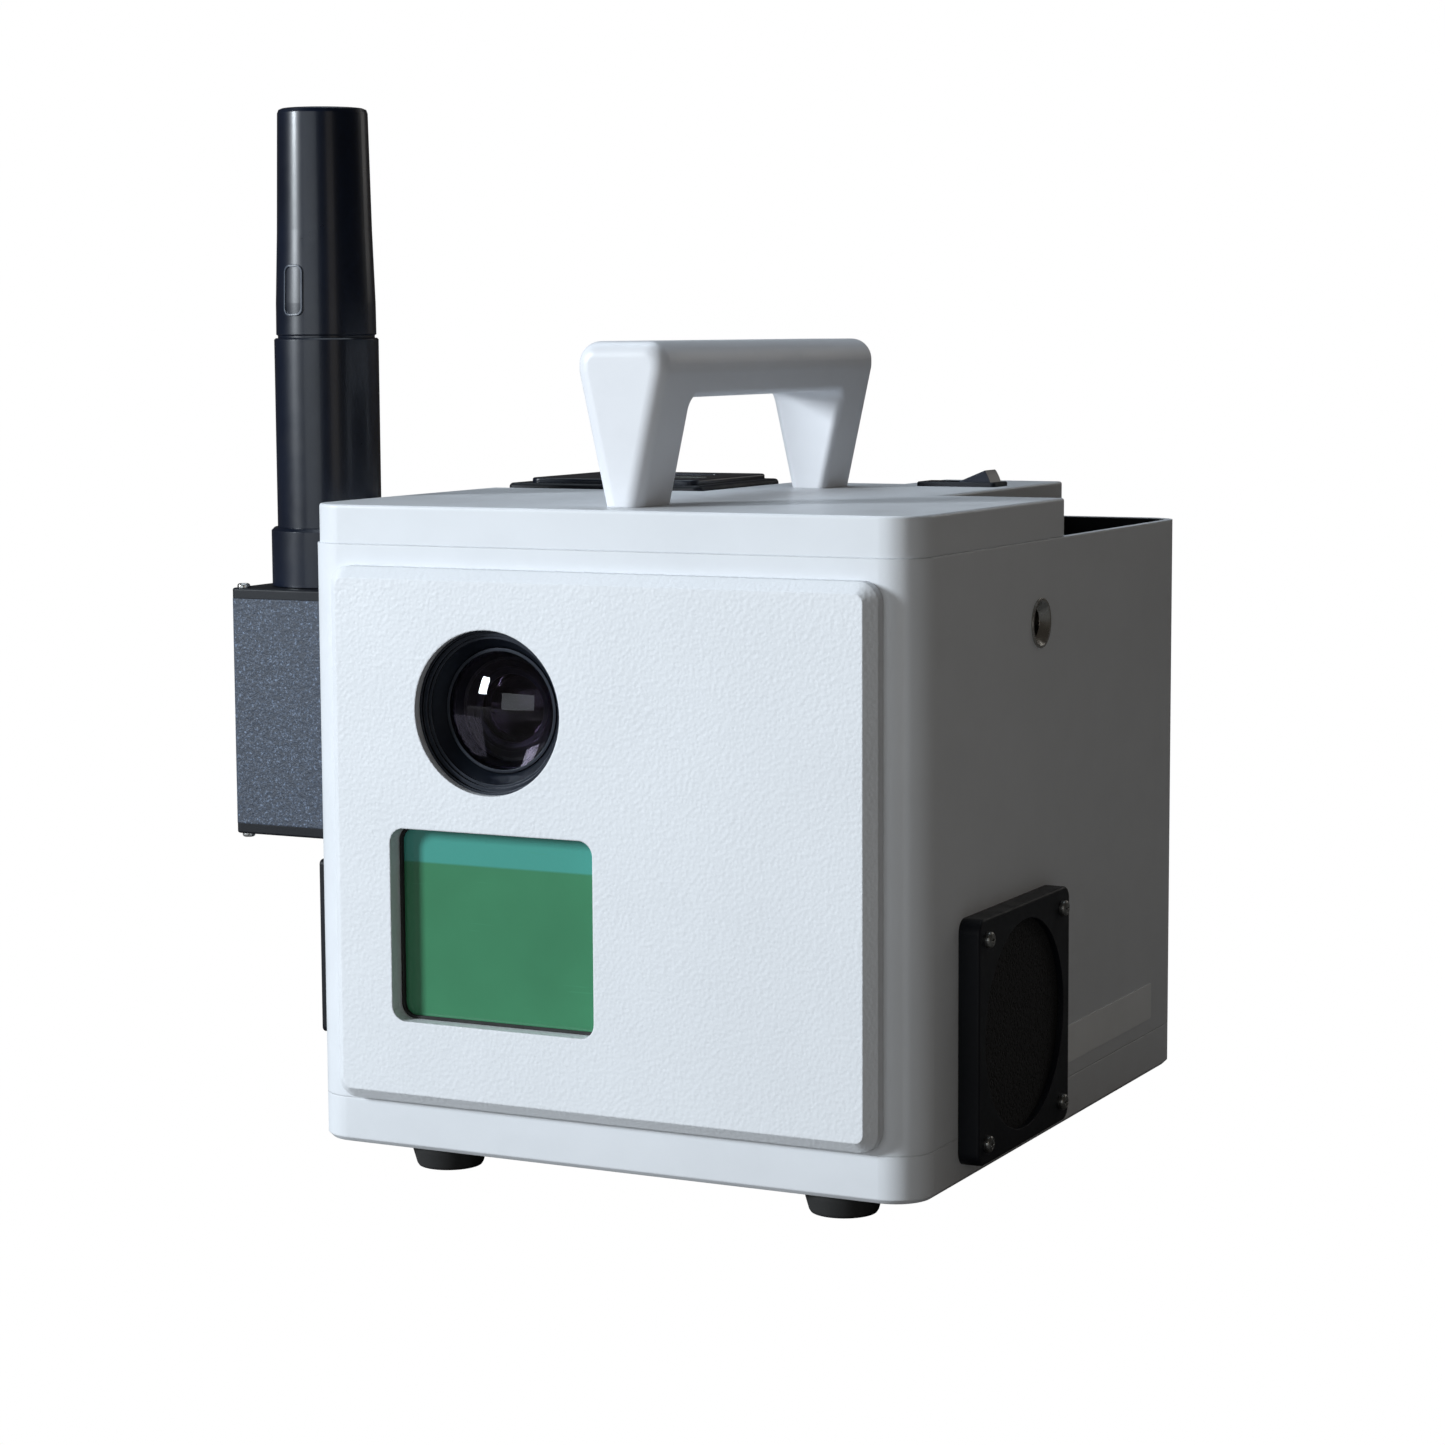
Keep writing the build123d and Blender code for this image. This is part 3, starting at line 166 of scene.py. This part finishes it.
def surface(name, colour, roughness, metallic=0.0, grain_mm=0.5, grain_depth=0.01, blotch=0.05,
            rough_spread=0.08, edge_mm=0.4, edge_colour=None, edge_amount=0.3, dust=0.0, coat=0.0, shine=0.5,
            dust_colour=(0.42, 0.42, 0.41)):
    """A painted, moulded or metal finish: grain, slow blotches, smudges, worn edges and dust on top."""
    shader = Shader(name)
    light = tuple(min(1.0, c * (1 + blotch)) for c in colour)
    dark = tuple(c * (1 - blotch) for c in colour)
    base = shader.mix(shader.span(shader.noise(38.0, detail=4.0), 0.35, 0.65), dark, light)
    rounded = shader.rounding(edge_mm)
    edge = shader.edges(rounded)
    patches = shader.span(shader.noise(2.6, detail=5.0), 0.38, 0.62, 0.15, edge_amount)
    wear = shader.math("MULTIPLY", edge, patches)
    base = shader.mix(wear, base, edge_colour or tuple(min(1.0, c * 1.5 + 0.01) for c in colour))
    if dust:
        specks = shader.noise(7.0, detail=7.0, roughness=0.7)
        lying = shader.math("MULTIPLY", shader.upward(), shader.span(specks, 0.35, 0.75, dust * 0.4, dust))
        base = shader.mix(lying, base, dust_colour)
    smudge = shader.noise(16.0, detail=6.0, roughness=0.65, distortion=0.6)
    rough = shader.span(smudge, 0.3, 0.7, max(0.02, roughness - rough_spread), roughness + rough_spread)
    normal = shader.bump(shader.noise(grain_mm, detail=2.0), grain_depth, rounded)
    return shader.finish(base, rough, normal, Metallic=metallic, Coat_Weight=coat, Coat_Roughness=0.08,
                         Specular_IOR_Level=shine)


def brushed(name, colour, roughness, direction):
    """Metal with fine lines along one direction."""
    shader = Shader(name)
    lines = shader.noise(0.5, detail=3.0, where=shader.stretched(*direction))
    base = shader.mix(shader.span(lines, 0.3, 0.7), tuple(c * 0.82 for c in colour), colour)
    rough = shader.span(shader.noise(9.0, detail=5.0), 0.3, 0.7, roughness - 0.08, roughness + 0.1)
    normal = shader.bump(lines, 0.012, shader.rounding(0.3))
    return shader.finish(base, rough, normal, Metallic=1.0)


def leather_paint(name, colour):
    """Thick paint with a fine leather-like relief."""
    shader = Shader(name)
    blotches = shader.span(shader.noise(45.0, detail=3.0), 0.35, 0.65)
    base = shader.mix(blotches, tuple(c * 0.975 for c in colour), colour)
    relief = shader.math("ADD", shader.math("MULTIPLY", shader.cells(1.4, "SMOOTH_F1"), 0.9),
                         shader.math("MULTIPLY", shader.noise(0.9, detail=3.0), 0.5))
    rough = shader.span(shader.noise(12.0, detail=5.0), 0.3, 0.7, 0.42, 0.56)
    normal = shader.bump(relief, 0.13, shader.rounding(0.8))
    return shader.finish(base, rough, normal)


def speckled(name, colour, fleck):
    """A cast or printed shell with small light flecks and a pebbled surface."""
    shader = Shader(name)
    flecks = shader.span(shader.noise(0.9, detail=4.0, roughness=0.7), 0.50, 0.66)
    pits = shader.span(shader.noise(1.5, detail=5.0, roughness=0.7), 0.42, 0.62)
    base = shader.mix(flecks, tuple(c * 0.55 for c in colour), fleck)
    base = shader.mix(pits, tuple(c * 0.45 for c in colour), base)
    normal = shader.bump(shader.noise(1.2, detail=5.0, roughness=0.7), 0.35, shader.rounding(0.6))
    return shader.finish(base, 0.5, normal)


def window_coating(name, lower, upper, split_z):
    """Coated window glass: green, with a teal band along its top edge, smears and fine scratches."""
    shader = Shader(name)
    height = shader.node("ShaderNodeSeparateXYZ")
    shader.join(shader.place, height.inputs[0])
    band = shader.span(height.outputs["Z"], split_z - BAND_BLUR, split_z + BAND_BLUR)
    blotches = shader.span(shader.noise(30.0, detail=3.0), 0.3, 0.7)
    low = shader.mix(blotches, tuple(c * 0.9 for c in lower), lower)
    base = shader.mix(band, low, upper)
    lines = shader.noise(1.0, detail=2.0, where=shader.stretched(0.05, 1.0, 1.0))
    scratch = shader.span(lines, 0.70, 0.74, 0.0, 0.25)
    base = shader.mix(scratch, base, tuple(c * 1.35 for c in lower))
    rough = shader.span(shader.noise(14.0, detail=6.0, roughness=0.7), 0.4, 0.75, 0.03, 0.14)
    return shader.finish(base, rough, Coat_Weight=0.6, Coat_Roughness=0.02, IOR=1.5,
                         Transmission_Weight=0.12)


def lens_coating(name, tint, film):
    """Clear glass with a thin purple film and faint cleaning marks."""
    shader = Shader(name)
    marks = shader.span(shader.noise(6.0, detail=3.0), 0.3, 0.7)
    base = shader.mix(marks, tint, tuple(c * 0.92 for c in tint))
    rough = shader.span(shader.noise(5.0, detail=6.0, roughness=0.7), 0.45, 0.8, 0.0, 0.035)
    return shader.finish(base, rough, Transmission_Weight=1.0, IOR=1.32, Coat_Weight=0.10,
                         Coat_Roughness=0.01, Coat_Tint=(*film, 1.0))


def foam(name, colour):
    """Open-cell filter foam, with painted shade in its pores."""
    shader = Shader(name)
    pores_and_pore_shade = shader.span(shader.cells(1.3), 0.15, 0.6)
    # The pores are painted darker: painted shade in the foam's hollows. The same mask also sets their relief.
    base = shader.mix(pores_and_pore_shade, tuple(c * 0.25 for c in colour), colour)
    normal = shader.bump(pores_and_pore_shade, 0.8)
    return shader.finish(base, 0.9, normal)


def board_mask(name, colour, trace):
    """Solder mask over copper traces."""
    shader = Shader(name)
    stripes = shader.noise(2.2, detail=1.0, where=shader.stretched(1.0, 0.15, 1.0))
    lanes = shader.span(stripes, 0.47, 0.53)
    base = shader.mix(lanes, colour, trace)
    normal = shader.bump(lanes, 0.05, shader.rounding(0.3))
    return shader.finish(base, 0.32, normal, Coat_Weight=0.4)


def mirror(name):
    """A front-surface mirror with a trace of haze."""
    shader = Shader(name)
    haze = shader.span(shader.noise(9.0, detail=6.0), 0.35, 0.75, 0.01, 0.05)
    blotches = shader.span(shader.noise(20.0, detail=2.0), 0.3, 0.7)
    base = shader.mix(blotches, (0.92, 0.92, 0.93), (0.86, 0.87, 0.88))
    return shader.finish(base, haze, shader.rounding(0.2), Metallic=1.0)


finishes = {
    "white_paint": surface("white_paint", (0.70, 0.72, 0.75), 0.42, grain_mm=0.9, grain_depth=0.022,
                           blotch=0.018, edge_mm=0.9, edge_amount=0.25, dust=0.05, coat=0.05,
                           edge_colour=(0.82, 0.83, 0.85)),
    "fascia_paint": leather_paint("fascia_paint", (0.74, 0.76, 0.79)),
    "handle_paint": surface("handle_paint", (0.72, 0.73, 0.76), 0.40, grain_mm=1.2, grain_depth=0.015,
                            blotch=0.02, edge_mm=0.8, edge_amount=0.2, edge_colour=(0.82, 0.83, 0.85)),
    "black_plastic": surface("black_plastic", (0.004, 0.005, 0.008), 0.50, grain_mm=0.7, grain_depth=0.03,
                             blotch=0.2, edge_amount=0.3, edge_colour=(0.025, 0.025, 0.03), dust=0.03,
                             dust_colour=(0.10, 0.10, 0.10), shine=0.22),
    "gloss_black": surface("gloss_black", (0.002, 0.005, 0.014), 0.30, grain_mm=1.6, grain_depth=0.003,
                           blotch=0.2, rough_spread=0.03, edge_amount=0.4, edge_colour=(0.03, 0.035, 0.05),
                           coat=0.08, shine=0.38),
    # A lighter copy of the antenna's gloss black, with lighter edges: painted sheen that stands in for the
    # highlight on the sleeve's raised frame.
    "painted_sheen_black": surface("painted_sheen_black", (0.030, 0.040, 0.062), 0.36, grain_mm=0.8, grain_depth=0.004,
                           edge_amount=0.5, edge_colour=(0.08, 0.10, 0.14)),
    "gauge_plastic": surface("gauge_plastic", (0.25, 0.28, 0.27), 0.25, grain_mm=0.8, coat=0.4),
    "radio_shell": speckled("radio_shell", (0.050, 0.072, 0.118), (0.22, 0.29, 0.42)),
    "rubber": surface("rubber", (0.014, 0.014, 0.014), 0.78, grain_mm=0.5, grain_depth=0.05, blotch=0.25,
                      edge_colour=(0.05, 0.05, 0.05), dust=0.12),
    "filter_foam": foam("filter_foam", (0.003, 0.003, 0.004)),
    "anodised_black": surface("anodised_black", (0.009, 0.013, 0.022), 0.36, metallic=0.5, grain_mm=0.3,
                              grain_depth=0.01, blotch=0.1, edge_amount=0.6, edge_colour=(0.09, 0.09, 0.10)),
    "aluminium": brushed("aluminium", (0.60, 0.61, 0.63), 0.34, (1.0, 0.06, 1.0)),
    "steel": brushed("steel", (0.56, 0.56, 0.55), 0.30, (1.0, 1.0, 0.1)),
    "black_steel": surface("black_steel", (0.22, 0.22, 0.21), 0.32, metallic=0.9, grain_mm=0.3,
                           edge_amount=0.7, edge_colour=(0.5, 0.5, 0.48)),
    "brass": brushed("brass", (0.50, 0.49, 0.46), 0.26, (0.1, 1.0, 1.0)),
    "sticker": surface("sticker", (0.86, 0.87, 0.88), 0.36, grain_mm=1.5, grain_depth=0.01, blotch=0.03,
                       edge_mm=0.15),
    "connector": brushed("connector", (0.30, 0.31, 0.33), 0.30, (1.0, 1.0, 0.1)),
    "window_glass": window_coating("window_glass", (0.060, 0.26, 0.13), (0.075, 0.36, 0.30), BAND_Z),
    "lens_glass": lens_coating("lens_glass", (0.50, 0.46, 0.54), (0.85, 0.72, 1.0)),
    "mirror": mirror("mirror"),
    "circuit_board": board_mask("circuit_board", (0.012, 0.085, 0.040), (0.05, 0.20, 0.09)),
}

def soften(mesh):
    """Smooth shading that keeps edges sharper than the limit."""
    for polygon in mesh.polygons:
        polygon.use_smooth = True
    mesh.set_sharp_from_angle(angle=SMOOTH_BELOW)


for row in frame["record"]["subparts"]:
    part = frame["nodes"][row["node"]]
    part.data.materials.clear()
    part.data.materials.append(finishes[row["material_slot"]])
    soften(part.data)


# ---------------------------------------------------------------- detail pieces
def piece(name, mesh_builder, finish_name, body):
    """A new piece from a bmesh, with its finish, riding on a body."""
    shape = bmesh.new()
    mesh_builder(shape)
    bmesh.ops.recalc_face_normals(shape, faces=shape.faces)
    mesh = bpy.data.meshes.new(name)
    shape.to_mesh(mesh)
    shape.free()
    made = bpy.data.objects.new(name, mesh)
    bpy.context.scene.collection.objects.link(made)
    mesh.materials.append(finishes[finish_name])
    soften(mesh)
    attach(made, body)


def lathe(shape, profile, origin, axis, steps):
    """A closed profile of (radius, distance) turned about an axis, in mm."""
    axis = Vector(axis).normalized()
    side = axis.orthogonal().normalized()
    other = axis.cross(side)
    rings = []
    for step in range(steps):
        angle = 2 * math.pi * step / steps
        spoke = side * math.cos(angle) + other * math.sin(angle)
        rings.append([shape.verts.new((Vector(origin) + spoke * r + axis * d) * MM) for r, d in profile])
    count = len(profile)
    for step in range(steps):
        a, b = rings[step], rings[(step + 1) % steps]
        for index in range(count):
            following = (index + 1) % count
            shape.faces.new((a[index], b[index], b[following], a[following]))


def iris_rings(shape):
    """Thin steps of the lens's blackened cone, between its front and inner glass."""
    for radius, y in ((19.2, -125.2), (17.4, -124.0), (15.6, -122.9), (13.9, -121.9)):
        profile = [(radius - 0.5, 0.0), (radius, -0.35), (radius + 0.6, 0.0), (radius, 0.5)]
        lathe(shape, profile, (LENS_X, y, LENS_Z), (0, 1, 0), steps=72)


piece("lens_iris_rings", iris_rings, "anodised_black", "scanner")


def raised_frame(shape):
    """A raised rounded frame on the antenna's sleeve, in mm. It narrows upwards with the sleeve."""
    radius, proud, taper = 18.35, 0.35, 0.03
    facing = math.radians(262)
    half_w, half_h, corner, width, rise, sunk, slope = 4.6, 9.6, 3.0, 1.1, 0.55, -0.4, 0.2
    section = ((corner, sunk), (corner - slope, rise), (corner - width + slope, rise), (corner - width, sunk))
    outline = []
    for cx, cz, start in ((1, 1, 0), (-1, 1, 90), (-1, -1, 180), (1, -1, 270)):
        for step in range(7):
            angle = math.radians(start + step * 15)
            outline.append((cx * (half_w - corner), cz * (half_h - corner), math.cos(angle), math.sin(angle)))
    rows = []
    for cx, cz, ux, uz in outline:
        ring = []
        for extent, lift in section:
            u = cx + ux * extent
            v = cz + uz * extent
            angle = facing + u / radius
            r = radius + proud - taper * (v + half_h) + lift
            place = Vector((ANTENNA_X + r * math.cos(angle), ANTENNA_Y + r * math.sin(angle), FRAME_Z + v))
            ring.append(shape.verts.new(place * MM))
        rows.append(ring)
    for index, ring in enumerate(rows):
        following = rows[(index + 1) % len(rows)]
        for k in range(4):
            shape.faces.new((ring[k], following[k], following[(k + 1) % 4], ring[(k + 1) % 4]))


# The raised frame takes the lighter black, a painted highlight on the sleeve.
piece("sleeve_frame", raised_frame, "painted_sheen_black", "antenna")


# ---------------------------------------------------------------- floor, light and camera
def floor_material():
    """White to camera rays, and a dark warm grey to every other ray."""
    shader = Shader("floor")
    grey = shader.node("ShaderNodeBsdfDiffuse")
    grey.inputs["Color"].default_value = (0.20, 0.19, 0.18, 1.0)
    white = shader.node("ShaderNodeEmission")
    white.inputs["Color"].default_value = (1.0, 1.0, 1.0, 1.0)
    chooser = shader.node("ShaderNodeMixShader")
    shader.join(shader.node("ShaderNodeLightPath").outputs["Is Camera Ray"], chooser.inputs[0])
    shader.join(grey.outputs[0], chooser.inputs[1])
    shader.join(white.outputs[0], chooser.inputs[2])
    shader.join(chooser.outputs[0], shader.output.inputs["Surface"])
    return shader.material


floor_mesh = bpy.data.meshes.new("floor")
corners = [(x * FLOOR_REACH, y * FLOOR_REACH, FLOOR_Z) for x, y in ((-1, -1), (1, -1), (1, 1), (-1, 1))]
floor_mesh.from_pydata(corners, [], [(0, 1, 2, 3)])
floor = bpy.data.objects.new("floor", floor_mesh)
bpy.context.scene.collection.objects.link(floor)
floor_mesh.materials.append(floor_material())


def lamp(name, place, target, width, height, watts, colour):
    """A rectangular soft lamp that faces its target, in metres."""
    data = bpy.data.lights.new(name, "AREA")
    data.shape = "RECTANGLE"
    data.size = width
    data.size_y = height
    data.energy = watts
    data.color = colour
    made = bpy.data.objects.new(name, data)
    bpy.context.scene.collection.objects.link(made)
    made.location = place
    made.rotation_euler = (Vector(target) - Vector(place)).to_track_quat("-Z", "Y").to_euler()


middle = (0.0, 0.0, 0.12)
lamp("key", (-2.50, -2.50, 1.10), middle, width=0.6, height=0.9, watts=152.0, colour=(0.87, 0.94, 1.0))
lamp("back_fill", (0.9, 2.0, 0.9), middle, width=1.0, height=1.0, watts=3.0, colour=(1.0, 0.97, 0.93))
lamp("front_fill", (-0.2, -2.6, 0.3), middle, width=1.6, height=0.8, watts=10.0, colour=(0.88, 0.95, 1.0))
lamp("sky", (-0.35, 0.25, 1.7), middle, width=1.2, height=1.2, watts=13.0, colour=(0.78, 0.89, 1.0))
lamp("corner_fill", (0.62, -0.75, 0.25), (0.12, -0.05, 0.12), width=0.3, height=0.5, watts=0.45,
     colour=(1.0, 0.93, 0.84))

world = bpy.data.worlds.new("studio")
world.use_nodes = True
world_nodes = world.node_tree.nodes
world_nodes.clear()
world_output = world_nodes.new("ShaderNodeOutputWorld")
seen = world_nodes.new("ShaderNodeBackground")
seen.inputs["Color"].default_value = (1.0, 1.0, 1.0, 1.0)
ambient = world_nodes.new("ShaderNodeBackground")
ambient.inputs["Color"].default_value = (1.0, 0.90, 0.78, 1.0)
ambient.inputs["Strength"].default_value = 0.045
choose = world_nodes.new("ShaderNodeMixShader")
world.node_tree.links.new(world_nodes.new("ShaderNodeLightPath").outputs["Is Camera Ray"], choose.inputs[0])
world.node_tree.links.new(ambient.outputs[0], choose.inputs[1])
world.node_tree.links.new(seen.outputs[0], choose.inputs[2])
world.node_tree.links.new(choose.outputs[0], world_output.inputs["Surface"])
bpy.context.scene.world = world
bpy.context.scene.view_settings.view_transform = "Standard"

# the camera, fitted to the photograph's viewing angle
camera_place = Vector((0.56484, -1.16627, 0.29467))
azimuth = math.radians(26.559)
elevation = math.radians(6.581)
roll = math.radians(-0.3025)
back = Vector((math.sin(azimuth) * math.cos(elevation), -math.cos(azimuth) * math.cos(elevation),
               math.sin(elevation)))
level = Vector((math.cos(azimuth), math.sin(azimuth), 0.0))
upright = back.cross(level)
right = level * math.cos(roll) + upright * math.sin(roll)
up = upright * math.cos(roll) - level * math.sin(roll)
camera_data = bpy.data.cameras.new("camera")
camera_data.sensor_width = 36.0
camera_data.lens = 85.16
camera_data.clip_end = 20.0
camera = bpy.data.objects.new("camera", camera_data)
bpy.context.scene.collection.objects.link(camera)
camera.matrix_world = Matrix((
    (right.x, up.x, back.x, camera_place.x),
    (right.y, up.y, back.y, camera_place.y),
    (right.z, up.z, back.z, camera_place.z),
    (0.0, 0.0, 0.0, 1.0),
))
bpy.context.scene.camera = camera
